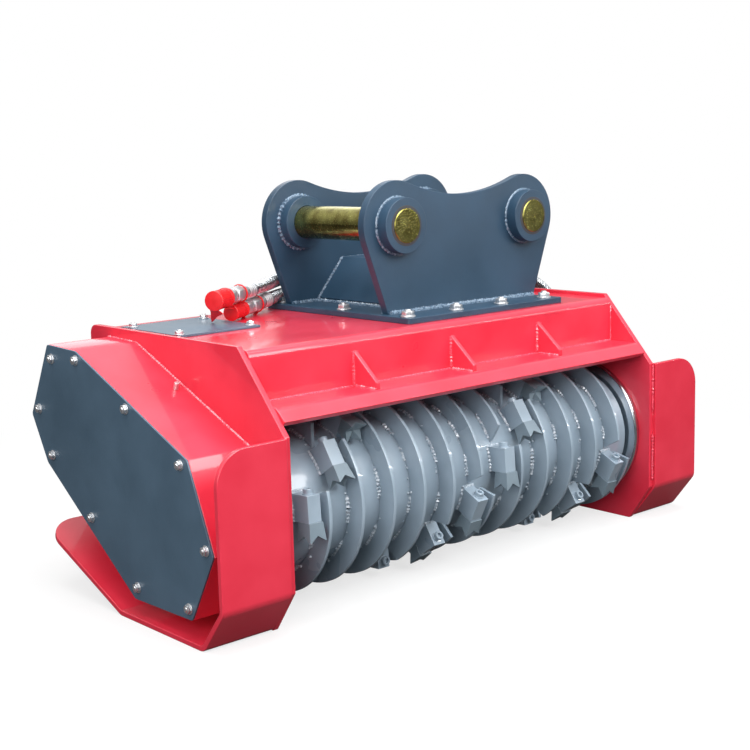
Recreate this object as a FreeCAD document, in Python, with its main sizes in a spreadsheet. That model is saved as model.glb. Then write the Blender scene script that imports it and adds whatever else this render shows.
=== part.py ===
import FreeCAD, Part
import math
import os
import re
import Sketcher
from FreeCAD import Placement, Rotation, Vector

# Forestry mulcher head for an excavator: a welded housing on two skids, a drum with
# a chain of cutter teeth, a belt drive on the left and a two-pin bracket on top.
# Millimetres. X runs along the drum, the open cutting side faces -Y, Z is up.
# The origin is on the ground under the middle of the housing.

doc = FreeCAD.newDocument("mulcher_head")

# Each row: alias, size in millimetres or degrees, or a share or a count. "depth" is measured back from the
# skids' front faces, "height" up from the ground, "place" along the drum from the middle.
SIZES = [
    # housing sides
    ("overall_depth", 647),
    ("cutting_width", 1000),
    ("side_wall", 12),
    ("side_top_height", 503),
    ("slant_top_depth", 135),
    ("slant_foot_height", 357),
    ("side_front_depth", 7),
    ("nose_height", 79),
    ("nose_depth", 62),
    ("sole_end_depth", 331),
    ("heel_depth", 608),
    ("heel_height", 113),
    ("side_rear_depth", 638),
    ("side_rear_foot", 230),
    ("side_corner", 20),
    # skids
    ("skid_width", 148),
    ("skid_thick", 10),
    ("skid_corner", 62),
    ("skid_bend", 14),
    # hood, shelf and gussets
    ("hood_top_height", 495.5),
    ("hood_wall", 12),
    ("hood_bend", 3),
    ("panel_depth", 115),
    ("tip_gap", 10),
    ("shelf_tip_depth", 42),
    ("lip_depth", 20),
    ("lip_drop", 20),
    ("shelf_bend", 6),
    ("gusset_thick", 10),
    ("gusset_share", 0.709),
    ("gusset_nose", 13),
    ("gusset_spacing", 256),
    ("gusset_count", 3),
    # rotor chamber and rear wall
    ("chamber_wall", 10),
    ("chamber_knee_inset", 77),
    ("chamber_top_inset", 81),
    ("knife_gap", 9),
    ("chamber_back_foot", 135),
    ("knife_depth", 14),
    ("knife_height", 46),
    ("rear_depth", 612),
    ("rear_knee_height", 205),
    ("seat_gap", 0.2),
    # rotor
    ("rotor_depth", 190),
    ("rotor_height", 194),
    ("drum_radius", 133),
    ("drum_wall", 30),
    ("drum_end_gap", 22),
    ("drum_disc", 25),
    ("shaft_radius", 45),
    ("shaft_gap", 0.08),
    ("ring_radius", 173),
    ("ring_thick", 7),
    ("tooth_count", 24),
    ("tooth_pitch", 38.75),
    ("first_tooth_angle", -12),
    ("tooth_step_angle", 30),
    ("ring_start_angle", 28),
    ("ring_stop_angle", 35),
    ("ring_cut_slant", 9),
    ("holder_width", 29),
    ("holder_length", 50),
    ("holder_lead", 11),
    ("holder_top", 176),
    ("tooth_root", 31),
    ("tooth_face", 37),
    ("tooth_reach", 45),
    ("tooth_notch", 11),
    ("tooth_tip_radius", 187),
    ("guard_ring_radius", 157),
    ("guard_ring_bore", 100),
    ("guard_ring_depth", 15),
    # belt case on the left side
    ("case_depth", 132),
    ("case_wall", 8),
    ("case_cover", 4),
    ("case_corner", 8),
    ("case_roof_depth", 568),
    ("case_roof_height", 483),
    ("case_brow_depth", 462),
    ("case_brow_height", 480),
    ("case_face_depth", 104),
    ("case_face_height", 327),
    ("case_nose_depth", 38),
    ("case_nose_height", 169),
    ("case_chin_depth", 111),
    ("case_chin_height", 41),
    ("case_floor_depth", 296),
    ("case_floor_height", 37.5),
    ("case_heel_depth", 595.5),
    ("case_heel_height", 246.6),
    ("case_tail_height", 338),
    ("motor_depth", 520),
    ("motor_room", 30.5),
    ("motor_radius", 78),
    ("motor_length", 250),
    # bearing on the right side
    ("bearing_radius", 92),
    ("bearing_thick", 42),
    ("bearing_cap_radius", 62),
    ("bearing_cap_thick", 14),
    # carrier bracket
    ("bracket_place", 149),
    ("base_left", 238),
    ("base_right", 220),
    ("base_front_depth", 143),
    ("base_rear_depth", 606),
    ("base_thick", 12),
    ("base_corner", 8),
    ("front_ear_depth", 226),
    ("rear_ear_depth", 541),
    ("ear_thick", 18),
    ("ear_half_foot", 218),
    ("pin_spacing", 375),
    ("pin_height", 684.5),
    ("lobe_radius", 90),
    ("saddle_radius", 440),
    ("pin_radius", 35),
    ("pin_play", 0.1),
    ("pin_tail", 3),
    ("boss_radius", 56),
    ("boss_proud", 27),
    ("boss_seat", 0.1),
    ("box_half_foot", 142),
    ("box_half_top", 70),
    ("box_height", 85),
    ("box_wall", 12),
    # inspection cover
    ("hatch_left", 486),
    ("hatch_width", 192),
    ("hatch_depth", 355),
    ("hatch_length", 208),
    ("hatch_thick", 5),
    # hydraulic hoses and their ends
    ("hose_radius", 14.5),
    ("elbow_radius", 20),
    ("ferrule_radius", 16),
    ("ferrule_length", 34),
    ("sleeve_radius", 14.5),
    ("sleeve_length", 30),
    ("nut_flats", 31),
    ("nut_length", 62),
    ("cap_length", 58),
    ("cap_lower_radius", 17),
    ("cap_upper_radius", 20.5),
    # grease nipple
    ("nipple_radius", 5),
    ("nipple_length", 14),
    ("nipple_place", 22),
    ("nipple_along", 0.55),
]

sheet = doc.addObject("Spreadsheet::Sheet", "Sizes")
for row, (alias, size) in enumerate(SIZES, start=1):
    sheet.set(f"A{row}", alias)
    sheet.set(f"B{row}", str(size))
    sheet.setAlias(f"B{row}", alias)
doc.recompute()
ALIASES = {alias for alias, size in SIZES}


def sized(words):
    """Turns plain size words into an expression that reads the sheet."""
    return re.sub(r"[a-z_]+", lambda m: f"Sizes.{m[0]}" if m[0] in ALIASES else m[0], str(words))


def value(words):
    """The number that size words stand for."""
    return float(sheet.evalExpression(sized(words)))


def back(words):
    """Place along Y of a depth behind the skids' front faces."""
    return f"({words}) - overall_depth / 2"


INNER = "cutting_width / 2"
OUTER = "(cutting_width / 2 + side_wall)"
ROTOR_Y = back("rotor_depth")


# Sketches

PLANES = {
    # plane: role of the origin plane, sign of the offset along its normal
    "YZ": ("YZ_Plane", 1),
    "XZ": ("XZ_Plane", -1),
    "XY": ("XY_Plane", 1),
}


def new_body(name):
    body = doc.addObject("PartDesign::Body", name)
    body.Label = name
    return body


def new_sketch(body, name, plane, place):
    """A sketch on an origin plane of its body, moved along the plane's normal to place."""
    role, sign = PLANES[plane]
    sketch = body.newObject("Sketcher::SketchObject", name)
    origin_plane = [item for item in body.Origin.OriginFeatures if item.Role == role][0]
    sketch.AttachmentSupport = [(origin_plane, "")]
    sketch.MapMode = "FlatFace"
    words = place if sign > 0 else f"-({place})"
    sketch.setExpression("AttachmentOffset.Base.z", sized(words))
    return sketch


def constrain(sketch, words, *parts):
    """Adds a dimension whose value follows the sheet."""
    index = sketch.addConstraint(Sketcher.Constraint(*parts, value(words)))
    sketch.setExpression(f"Constraints[{index}]", sized(words))


def draw_outline(sketch, corners):
    """Closed outline of lines. A corner is (across, up) or (across, up, radius)."""
    spots = [Vector(value(corner[0]), value(corner[1]), 0) for corner in corners]
    count = len(spots)
    radii = [value(corner[2]) if len(corner) > 2 else 0 for corner in corners]
    reach = []
    for i in range(count):
        before = (spots[i - 1] - spots[i]).normalize()
        after = (spots[(i + 1) % count] - spots[i]).normalize()
        half = before.getAngle(after) / 2
        reach.append((before, after, radii[i] / math.tan(half), radii[i] / math.sin(half)))
    for i in range(count):
        j = (i + 1) % count
        start = spots[i] + reach[i][1] * reach[i][2]
        end = spots[j] + reach[j][0] * reach[j][2]
        sketch.addGeometry(Part.LineSegment(start, end), False)
    for i in range(count):
        before, after, cut, hub = reach[i]
        if not radii[i]:
            sketch.addConstraint(Sketcher.Constraint("Coincident", (i - 1) % count, 2, i, 1))
            constrain(sketch, corners[i][0], "DistanceX", -1, 1, i, 1)
            constrain(sketch, corners[i][1], "DistanceY", -1, 1, i, 1)
            continue
        centre = spots[i] + (before + after).normalize() * hub
        first = spots[i] + before * cut
        last = spots[i] + after * cut
        middle = centre + (spots[i] - centre).normalize() * radii[i]
        arc = sketch.addGeometry(Part.Arc(first, middle, last), False)
        turn = before.cross(after).z
        first_end, last_end = (2, 1) if turn > 0 else (1, 2)
        sketch.addConstraint(Sketcher.Constraint("Tangent", (i - 1) % count, 2, arc, first_end))
        sketch.addConstraint(Sketcher.Constraint("Tangent", arc, last_end, i, 1))
        constrain(sketch, corners[i][2], "Radius", arc)
        tip = sketch.addGeometry(Part.Point(spots[i]), True)
        sketch.addConstraint(Sketcher.Constraint("PointOnObject", tip, 1, (i - 1) % count))
        sketch.addConstraint(Sketcher.Constraint("PointOnObject", tip, 1, i))
        constrain(sketch, corners[i][0], "DistanceX", -1, 1, tip, 1)
        constrain(sketch, corners[i][1], "DistanceY", -1, 1, tip, 1)


def draw_strip(sketch, corners, thick, side):
    """Bent plate seen from its end: a chain of lines and the same chain one thickness to
    its left (side 1) or right (side -1)."""
    spots = [Vector(value(corner[0]), value(corner[1]), 0) for corner in corners]
    wall = value(thick) * side
    runs = [(b - a).normalize() for a, b in zip(spots, spots[1:])]
    normals = [Vector(-run.y, run.x, 0) for run in runs]
    inner = [spots[0] + normals[0] * wall]
    for i in range(1, len(runs)):
        bend = normals[i - 1] + normals[i]
        inner.append(spots[i] + bend * (wall * 2 / bend.dot(bend)))
    inner.append(spots[-1] + normals[-1] * wall)
    count = len(runs)
    for i in range(count):
        sketch.addGeometry(Part.LineSegment(spots[i], spots[i + 1]), False)
    for i in range(count):
        sketch.addGeometry(Part.LineSegment(inner[i], inner[i + 1]), False)
    head = sketch.addGeometry(Part.LineSegment(inner[0], spots[0]), False)
    tail = sketch.addGeometry(Part.LineSegment(spots[-1], inner[-1]), False)
    for i in range(count - 1):
        sketch.addConstraint(Sketcher.Constraint("Coincident", i, 2, i + 1, 1))
        sketch.addConstraint(Sketcher.Constraint("Coincident", count + i, 2, count + i + 1, 1))
    sketch.addConstraint(Sketcher.Constraint("Coincident", head, 2, 0, 1))
    sketch.addConstraint(Sketcher.Constraint("Coincident", head, 1, count, 1))
    sketch.addConstraint(Sketcher.Constraint("Coincident", tail, 1, count - 1, 2))
    sketch.addConstraint(Sketcher.Constraint("Coincident", tail, 2, 2 * count - 1, 2))
    for i, corner in enumerate(corners):
        line, end = (i, 1) if i < count else (count - 1, 2)
        constrain(sketch, corner[0], "DistanceX", -1, 1, line, end)
        constrain(sketch, corner[1], "DistanceY", -1, 1, line, end)
    for i in range(count):
        sketch.addConstraint(Sketcher.Constraint("Parallel", i, count + i))
        constrain(sketch, thick, "Distance", count + i, 1, i)
    sketch.addConstraint(Sketcher.Constraint("Perpendicular", head, 0))
    sketch.addConstraint(Sketcher.Constraint("Perpendicular", tail, count - 1))


# Solids

def pad(body, sketch, length):
    """Raises a sketch along the axis across its plane, always towards larger places."""
    feature = body.newObject("PartDesign::Pad", f"{body.Name}_pad")
    feature.Profile = sketch
    feature.Reversed = sketch.AttachmentSupport[0][0].Role == "XZ_Plane"
    feature.setExpression("Length", sized(length))
    sketch.Visibility = False
    return feature


def plate(name, plane, start, thick, corners):
    """A flat plate: its outline, where it starts across the plane, and its thickness."""
    body = new_body(name)
    sketch = new_sketch(body, f"{name}_outline", plane, start)
    draw_outline(sketch, corners)
    pad(body, sketch, thick)
    return body


def bent_plate(name, start, width, corners, thick, side, bends=()):
    """A plate bent along X. bends lists the inner radius of each bend, in order."""
    body = new_body(name)
    sketch = new_sketch(body, f"{name}_section", "YZ", start)
    draw_strip(sketch, corners, thick, side)
    feature = pad(body, sketch, width)
    doc.recompute()
    for i, inner_radius in enumerate(bends, start=1):
        outer = (value(corners[i][0]), value(corners[i][1]))
        feature = round_bend(body, feature, outer, inner_radius, thick)
    return body


def edges_along_x(shape):
    """Name and end view of each straight edge that runs along X."""
    found = []
    for number, edge in enumerate(shape.Edges, start=1):
        box = edge.BoundBox
        if box.YLength < 1e-4 and box.ZLength < 1e-4 and box.XLength > 1:
            found.append((f"Edge{number}", box.YMin, box.ZMin))
    return found


def round_bend(body, feature, outer, inner_radius, thick):
    """Rounds the inner edge nearest to a bend's outer edge, then the outer edge."""
    for place, radius in (("inner", inner_radius), ("outer", f"{inner_radius} + {thick}")):
        rows = edges_along_x(feature.Shape)
        gaps = sorted((math.hypot(y - outer[0], z - outer[1]), name) for name, y, z in rows)
        near = gaps[1] if place == "inner" else gaps[0]
        fillet = body.newObject("PartDesign::Fillet", f"{body.Name}_bend")
        fillet.Base = (feature, [near[1]])
        fillet.setExpression("Radius", sized(radius))
        doc.recompute()
        feature = fillet
    return feature


def pocket(body, sketch):
    """Cuts a sketch right through its body, both ways."""
    feature = body.newObject("PartDesign::Pocket", f"{sketch.Name}_cut")
    feature.Profile = sketch
    feature.Type = "ThroughAll"
    feature.Midplane = True
    sketch.Visibility = False
    doc.recompute()
    return feature


def circle_sketch(body, name, plane, place, across, up, radius):
    sketch = new_sketch(body, name, plane, place)
    spot = Vector(value(across), value(up), 0)
    sketch.addGeometry(Part.Circle(spot, Vector(0, 0, 1), value(radius)), False)
    constrain(sketch, across, "DistanceX", -1, 1, 0, 3)
    constrain(sketch, up, "DistanceY", -1, 1, 0, 3)
    constrain(sketch, radius, "Radius", 0)
    return sketch


TURNS = {"X": Rotation(Vector(0, 1, 0), 90), "Y": Rotation(Vector(1, 0, 0), -90),
         "Z": Rotation()}


def cylinder(name, axis, start, radius, length):
    """A round bar from start = (x, y, z) words along the positive axis."""
    bar = doc.addObject("Part::Cylinder", name)
    bar.Placement = Placement(Vector(), TURNS[axis])
    bar.setExpression("Radius", sized(radius))
    bar.setExpression("Height", sized(length))
    for letter, words in zip("xyz", start):
        bar.setExpression(f"Placement.Base.{letter}", sized(words))
    return bar


def box(name, start, lengths):
    block = doc.addObject("Part::Box", name)
    for side, words in zip(("Length", "Width", "Height"), lengths):
        block.setExpression(side, sized(words))
    for letter, words in zip("xyz", start):
        block.setExpression(f"Placement.Base.{letter}", sized(words))
    return block


def cut(name, base, tool):
    result = doc.addObject("Part::Cut", name)
    result.Base = base
    result.Tool = tool
    result.Label = name
    return result


def join(name, pieces):
    result = doc.addObject("Part::MultiFuse", name)
    result.Shapes = pieces
    result.Label = name
    return result


def group(name, pieces):
    """Like pieces that share a node without touching."""
    result = doc.addObject("Part::Compound", name)
    result.Links = pieces
    result.Label = name
    return result


def ring(name, axis, start, radius, bore, length):
    disc = cylinder(f"{name}_disc", axis, start, radius, length)
    hole = cylinder(f"{name}_hole", axis, start, bore, length)
    return cut(name, disc, hole)


# Housing sides and skids. The skids' profile is the sides' lower outline.

SIDE_OUTLINE = [
    (back("side_front_depth"), "nose_height"),
    (back("nose_depth"), "0"),
    (back("sole_end_depth"), "0"),
    (back("heel_depth"), "heel_height"),
    (back("side_rear_depth"), "side_rear_foot"),
    (back("side_rear_depth"), "side_top_height", "side_corner"),
    (back("slant_top_depth"), "side_top_height"),
    (back("side_front_depth"), "slant_foot_height"),
]
SKID_CHAIN = [
    (back("0"), "slant_foot_height"),
    (back("0"), "nose_height"),
    (back("nose_depth"), "0"),
    (back("sole_end_depth"), "0"),
    (back("heel_depth"), "heel_height"),
]


def side_plate(name, start):
    """A side of the housing, bored for the drum's shaft."""
    body = plate(name, "YZ", start, "side_wall", SIDE_OUTLINE)
    bore = circle_sketch(body, f"{name}_bore", "YZ", start, ROTOR_Y, "rotor_height",
                         "shaft_radius + shaft_gap")
    pocket(body, bore)
    return body


def skid(name, start, outer_place):
    """A bent skid plate with its two outer corners rounded."""
    body = bent_plate(name, start, "skid_width", SKID_CHAIN, "skid_thick", 1,
                      ["skid_bend", "skid_bend", "skid_bend"])
    strip = body.Tip
    shape = strip.Shape
    place = value(outer_place)
    names = []
    for number, edge in enumerate(shape.Edges, start=1):
        spans = edge.BoundBox
        straight = edge.Curve.TypeId == "Part::GeomLine"
        short = abs(edge.Length - value("skid_thick")) < 0.01
        if straight and short and spans.XLength < 1e-4 and abs(spans.XMin - place) < 1e-3:
            names.append(f"Edge{number}")
    fillet = body.newObject("PartDesign::Fillet", f"{name}_corners")
    fillet.Base = (strip, names)
    fillet.setExpression("Radius", sized("skid_corner"))
    doc.recompute()
    return body


NODES = [
    side_plate("side_plate_left", f"-{OUTER}"),
    side_plate("side_plate_right", INNER),
    skid("skid_left", f"-{OUTER} - skid_width", f"-{OUTER} - skid_width"),
    skid("skid_right", OUTER, f"{OUTER} + skid_width"),
]

# Hood, front shelf and gussets between the sides. The shelf clears the teeth's tips.

SHELF_HEIGHT = "(rotor_height + tooth_tip_radius + tip_gap + chamber_wall)"
KNEE_DEPTH = "(rotor_depth + tooth_tip_radius - chamber_knee_inset)"
BACK_DEPTH = "(rotor_depth + tooth_tip_radius + knife_gap + knife_depth)"
BACK_TOP = "(rotor_height + tooth_tip_radius - chamber_top_inset)"

NODES.append(bent_plate("hood_plate", f"-{INNER}", "cutting_width", [
    (back("rear_depth"), "hood_top_height"),
    (back("panel_depth"), "hood_top_height"),
    (back("panel_depth"), f"{SHELF_HEIGHT} - hood_wall"),
], "hood_wall", 1, ["hood_bend"]))

NODES.append(bent_plate("front_shelf", f"-{INNER}", "cutting_width", [
    (back("panel_depth"), SHELF_HEIGHT),
    (back("shelf_tip_depth"), SHELF_HEIGHT),
    (back("lip_depth"), f"{SHELF_HEIGHT} - lip_drop"),
], "hood_wall", 1, ["shelf_bend"]))

GUSSET_TOP = f"{SHELF_HEIGHT} + gusset_share * (hood_top_height - {SHELF_HEIGHT})"
gussets = []
for number in range(int(value("gusset_count"))):
    place = f"({number} - (gusset_count - 1) / 2) * gusset_spacing - gusset_thick / 2"
    gussets.append(plate(f"gusset_{number + 1}", "YZ", place, "gusset_thick", [
        (back("panel_depth"), SHELF_HEIGHT),
        (back("panel_depth"), GUSSET_TOP),
        (back("shelf_tip_depth + gusset_thick"), f"{SHELF_HEIGHT} + gusset_nose"),
        (back("shelf_tip_depth + gusset_thick"), SHELF_HEIGHT),
    ]))
NODES.append(group("front_gussets", gussets))

# Rotor chamber: a flat roof, a slope and a back wall with the counter knife

ROOF_FOOT = f"({SHELF_HEIGHT} - chamber_wall)"
NODES.append(box("chamber_roof", (f"-{INNER}", back("panel_depth + hood_wall"), ROOF_FOOT),
                 ("cutting_width", f"{KNEE_DEPTH} - panel_depth - hood_wall",
                  "chamber_wall")))
NODES.append(plate("chamber_slope", "YZ", f"-{INNER}", "cutting_width", [
    (back(KNEE_DEPTH), ROOF_FOOT),
    (back(BACK_DEPTH), BACK_TOP),
    (back(f"{BACK_DEPTH} + chamber_wall"), BACK_TOP),
    (back(KNEE_DEPTH), SHELF_HEIGHT),
]))
NODES.append(box("chamber_back", (f"-{INNER}", back(BACK_DEPTH), "chamber_back_foot"),
                 ("cutting_width", "chamber_wall", f"{BACK_TOP} - chamber_back_foot")))
NODES.append(box("counter_knife", (f"-{INNER}", back(f"{BACK_DEPTH} - knife_depth"),
                                   "chamber_back_foot"),
                 ("cutting_width", "knife_depth", "knife_height")))
# How far the square-cut foot of the rear plate leans past its outer corner
REAR_RUN = f"(rear_depth - {BACK_DEPTH} - chamber_wall)"
REAR_RISE = "(rear_knee_height - chamber_back_foot)"
REAR_LEAN = f"chamber_wall * {REAR_RISE} / sqrt({REAR_RUN} ^ 2 + {REAR_RISE} ^ 2) + seat_gap"
NODES.append(bent_plate("rear_plate", f"-{INNER}", "cutting_width", [
    (back("rear_depth"), "hood_top_height - hood_wall"),
    (back("rear_depth"), "rear_knee_height"),
    (back(f"{BACK_DEPTH} + chamber_wall + {REAR_LEAN}"), "chamber_back_foot"),
], "chamber_wall", -1, ["chamber_wall"]))

# Drum with its shaft, hollow between two end discs

DRUM_END = f"({INNER} - drum_end_gap)"
SHAFT_RIGHT = f"{OUTER} + bearing_thick"
SHAFT_LEFT = f"({OUTER} + case_depth / 2)"


def shaft(name, start, length):
    return cylinder(name, "X", (start, ROTOR_Y, "rotor_height"), "shaft_radius", length)


def drum_bar(name, inset, radius):
    return cylinder(name, "X", (f"-{DRUM_END} + {inset}", ROTOR_Y, "rotor_height"), radius,
                    f"2 * ({DRUM_END} - {inset})")


drum_shell = cut("drum_shell", drum_bar("drum_outside", "0", "drum_radius"),
                 drum_bar("drum_hollow", "drum_disc", "drum_radius - drum_wall"))
NODES.append(join("drum_tube", [
    drum_shell,
    shaft("shaft_left", f"-{SHAFT_LEFT}", f"{SHAFT_LEFT} - {DRUM_END}"),
    shaft("shaft_right", DRUM_END, f"{SHAFT_RIGHT} - {DRUM_END}"),
]))

# Chain of teeth: each next tooth stands one pitch along the drum and almost opposite
# the last. A rib runs from behind each tooth round the drum to the next.


def tooth_angle(number):
    """Angle of a tooth in degrees, from the front upwards over the top."""
    opposite = 180 if number % 2 else 0
    return value("first_tooth_angle") + value("tooth_step_angle") * (number // 2) + opposite


def tooth_place(number):
    return value("tooth_pitch") * (number - (value("tooth_count") - 1) / 2)


def on_drum(number):
    """Placement that carries a piece drawn on top of the drum to a tooth's place, with
    the tooth's tip at the tooth's angle."""
    axis = Vector(tooth_place(number), value(ROTOR_Y), value("rotor_height"))
    turn = 90 - tooth_angle(number) - TIP_LEAD
    return Placement(axis, Rotation(Vector(1, 0, 0), turn))


def drum_point(place, angle, radius):
    turn = math.radians(angle)
    return Vector(place, value(ROTOR_Y) - radius * math.cos(turn),
                  value("rotor_height") + radius * math.sin(turn))


def rib(number):
    """Flat rib from behind tooth number - 1 to the holder of tooth number. Its far end is
    cut on a slant, longer at its foot."""
    start = tooth_angle(number - 1) + value("ring_start_angle")
    stop = tooth_angle(number) + value("ring_stop_angle")
    while start - stop < 90:
        start += 360
    while start - stop > 360:
        start -= 360
    slant = value("ring_cut_slant")
    place = tooth_place(number) - value("ring_thick") / 2
    low = value("drum_radius")
    high = value("ring_radius")
    corner = [drum_point(place, start, low), drum_point(place, start, high),
              drum_point(place, stop + slant, high), drum_point(place, stop, low)]
    outer = Part.Arc(corner[1], drum_point(place, (start + stop) / 2, high), corner[2])
    inner = Part.Arc(corner[3], drum_point(place, (start + stop) / 2, low), corner[0])
    edges = [Part.LineSegment(corner[0], corner[1]), outer,
             Part.LineSegment(corner[2], corner[3]), inner]
    face = Part.Face(Part.Wire([edge.toShape() for edge in edges]))
    return face.extrude(Vector(value("ring_thick"), 0, 0))


TEETH = range(int(value("tooth_count")))

ribs = doc.addObject("Part::Feature", "drum_ribs")
ribs.Shape = Part.makeCompound([rib(number) for number in TEETH[1:]])
NODES.append(ribs)

# Pattern pieces for the holder and the tooth, drawn over the drum's axis at the top
# with the cutting direction along -Y
HOLDER_FOOT = "(drum_radius - holder_lead)"
TOOTH_MIDDLE = "(sqrt(tooth_tip_radius ^ 2 - tooth_reach ^ 2) - tooth_face / 2)"
TOOTH_BACK = "-holder_lead"
TOOTH_TIP = "-tooth_reach"
TIP_LEAD = math.degrees(math.atan2(value("tooth_reach"), value(TOOTH_MIDDLE)))
holder_block = box("holder_block", ("-holder_width / 2", TOOTH_BACK, HOLDER_FOOT),
                   ("holder_width", "holder_length", f"holder_top - {HOLDER_FOOT}"))
holder_seat = cylinder("holder_seat", "X", ("-holder_width", "0", "0"), "drum_radius",
                       "2 * holder_width")
holder_pattern = cut("holder_pattern", holder_block, holder_seat)

tooth_pattern = new_body("tooth_pattern")
HALF_ROOT = "tooth_root / 2"
HALF_FACE = "tooth_face / 2"


def tooth_side(name, place, half):
    """Square section of the tooth across the cutting direction."""
    sketch = new_sketch(tooth_pattern, name, "XZ", place)
    draw_outline(sketch, [
        (f"-{half}", f"{TOOTH_MIDDLE} - {half}"), (half, f"{TOOTH_MIDDLE} - {half}"),
        (half, f"{TOOTH_MIDDLE} + {half}"), (f"-{half}", f"{TOOTH_MIDDLE} + {half}")])
    return sketch


tooth_root_section = tooth_side("tooth_root_section", TOOTH_BACK, HALF_ROOT)
tooth_face_section = tooth_side("tooth_face_section", TOOTH_TIP, HALF_FACE)
doc.recompute()
tooth_loft = tooth_pattern.newObject("PartDesign::AdditiveLoft", "tooth_loft")
tooth_loft.Profile = tooth_root_section
tooth_loft.Sections = [tooth_face_section]
tooth_loft.Ruled = True
doc.recompute()

# Two V grooves across the face leave a point at each corner
across_groove = new_sketch(tooth_pattern, "across_groove", "YZ", "0")
draw_outline(across_groove, [
    (TOOTH_TIP, f"{TOOTH_MIDDLE} - {HALF_FACE} + 2"),
    (f"{TOOTH_TIP} + tooth_notch", TOOTH_MIDDLE),
    (TOOTH_TIP, f"{TOOTH_MIDDLE} + {HALF_FACE} - 2"),
    (f"{TOOTH_TIP} - 5", TOOTH_MIDDLE),
])
pocket(tooth_pattern, across_groove)
upright_groove = new_sketch(tooth_pattern, "upright_groove", "XY", TOOTH_MIDDLE)
draw_outline(upright_groove, [
    (f"-{HALF_FACE} + 2", TOOTH_TIP),
    ("0", f"{TOOTH_TIP} + tooth_notch"),
    (f"{HALF_FACE} - 2", TOOTH_TIP),
    ("0", f"{TOOTH_TIP} - 5"),
])
pocket(tooth_pattern, upright_groove)
doc.recompute()


def row_of(name, pattern):
    """One copy of a pattern piece at each tooth of the chain."""
    copies = []
    for number in TEETH:
        copy = pattern.Shape.copy()
        copy.Placement = on_drum(number).multiply(copy.Placement)
        copies.append(copy)
    row_node = doc.addObject("Part::Feature", name)
    row_node.Shape = Part.makeCompound(copies)
    return row_node


NODES.append(row_of("tool_holders", holder_pattern))
NODES.append(row_of("cutter_teeth", tooth_pattern))

# Guard rings round the drum's ends, on the inner faces of the sides
for side, start in (("left", f"-{INNER}"), ("right", f"{INNER} - guard_ring_depth")):
    NODES.append(ring(f"guard_ring_{side}", "X", (start, ROTOR_Y, "rotor_height"),
                      "guard_ring_radius", "guard_ring_bore", "guard_ring_depth"))

# Bearing on the right side
bearing_start = (OUTER, ROTOR_Y, "rotor_height")
NODES.append(ring("bearing_housing", "X", bearing_start, "bearing_radius",
                  "shaft_radius + shaft_gap", "bearing_thick"))
NODES.append(cylinder("bearing_cap", "X", (f"{OUTER} + bearing_thick", ROTOR_Y, "rotor_height"),
                      "bearing_cap_radius", "bearing_cap_thick"))

# Belt case: a welded wall closed by a bolted cover, and the motor behind it

CASE_OUTLINE = [
    (back("case_roof_depth"), "case_roof_height"),
    (back("case_brow_depth"), "case_brow_height"),
    (back("case_face_depth"), "case_face_height"),
    (back("case_nose_depth"), "case_nose_height"),
    (back("case_chin_depth"), "case_chin_height"),
    (back("case_floor_depth"), "case_floor_height"),
    (back("case_heel_depth"), "case_heel_height"),
    (back("overall_depth"), "case_tail_height"),
]


def hollow_case(body, start):
    """Cuts the hollow of the case, one wall thickness inside its outline."""
    spots = [Vector(value(a), value(b), 0) for a, b in CASE_OUTLINE]
    count = len(spots)
    wall = value("case_wall")
    inner = []
    for i in range(count):
        before = (spots[i] - spots[i - 1]).normalize()
        after = (spots[(i + 1) % count] - spots[i]).normalize()
        bend = Vector(-before.y, before.x, 0) + Vector(-after.y, after.x, 0)
        inner.append(spots[i] + bend * (wall * 2 / bend.dot(bend)))
    sketch = new_sketch(body, f"{body.Name}_hollow", "YZ", start)
    for i in range(count):
        sketch.addGeometry(Part.LineSegment(spots[i], spots[(i + 1) % count]), True)
    for i in range(count):
        sketch.addGeometry(Part.LineSegment(inner[i], inner[(i + 1) % count]), False)
    for i in range(count):
        j = (i - 1) % count
        sketch.addConstraint(Sketcher.Constraint("Coincident", j, 2, i, 1))
        sketch.addConstraint(Sketcher.Constraint("Coincident", count + j, 2, count + i, 1))
        constrain(sketch, CASE_OUTLINE[i][0], "DistanceX", -1, 1, i, 1)
        constrain(sketch, CASE_OUTLINE[i][1], "DistanceY", -1, 1, i, 1)
        sketch.addConstraint(Sketcher.Constraint("Parallel", i, count + i))
        constrain(sketch, "case_wall", "Distance", count + i, 1, i)
    pocket(body, sketch)


CASE_LEFT = f"-{OUTER} - case_depth"
case_body = plate("belt_case_wall", "YZ", CASE_LEFT, "case_depth", CASE_OUTLINE)
hollow_case(case_body, CASE_LEFT)
NODES.append(case_body)
NODES.append(plate("belt_case_cover", "YZ", f"{CASE_LEFT} - case_cover", "case_cover",
                   [corner + ("case_corner",) for corner in CASE_OUTLINE]))
NODES.append(cylinder("drive_motor", "X",
                      (f"-{INNER}", back("motor_depth"),
                       "hood_top_height - hood_wall - motor_room - motor_radius"),
                      "motor_radius", "motor_length"))

# Carrier bracket: base plate, two ears, bosses, pins and the cross box between the ears

BASE_TOP = "(hood_top_height + base_thick)"
NODES.append(plate("bracket_base", "XY", "hood_top_height", "base_thick", [
    ("bracket_place - base_left", back("base_front_depth"), "base_corner"),
    ("bracket_place + base_right", back("base_front_depth"), "base_corner"),
    ("bracket_place + base_right", back("base_rear_depth"), "base_corner"),
    ("bracket_place - base_left", back("base_rear_depth"), "base_corner"),
]))
PIN_PLACES = {
    "left": "bracket_place - pin_spacing / 2",
    "right": "bracket_place + pin_spacing / 2",
}


def tangent_spot(corner, hub, radius, turn):
    """Where the line from a corner touches a circle, on its turn side (1 left, -1 right)."""
    away = hub - corner
    lean = math.asin(radius / away.Length) * turn
    reach = math.sqrt(away.Length ** 2 - radius ** 2)
    line = Rotation(Vector(0, 0, 1), math.degrees(lean)).multVec(away).normalize()
    return corner + line * reach


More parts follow.
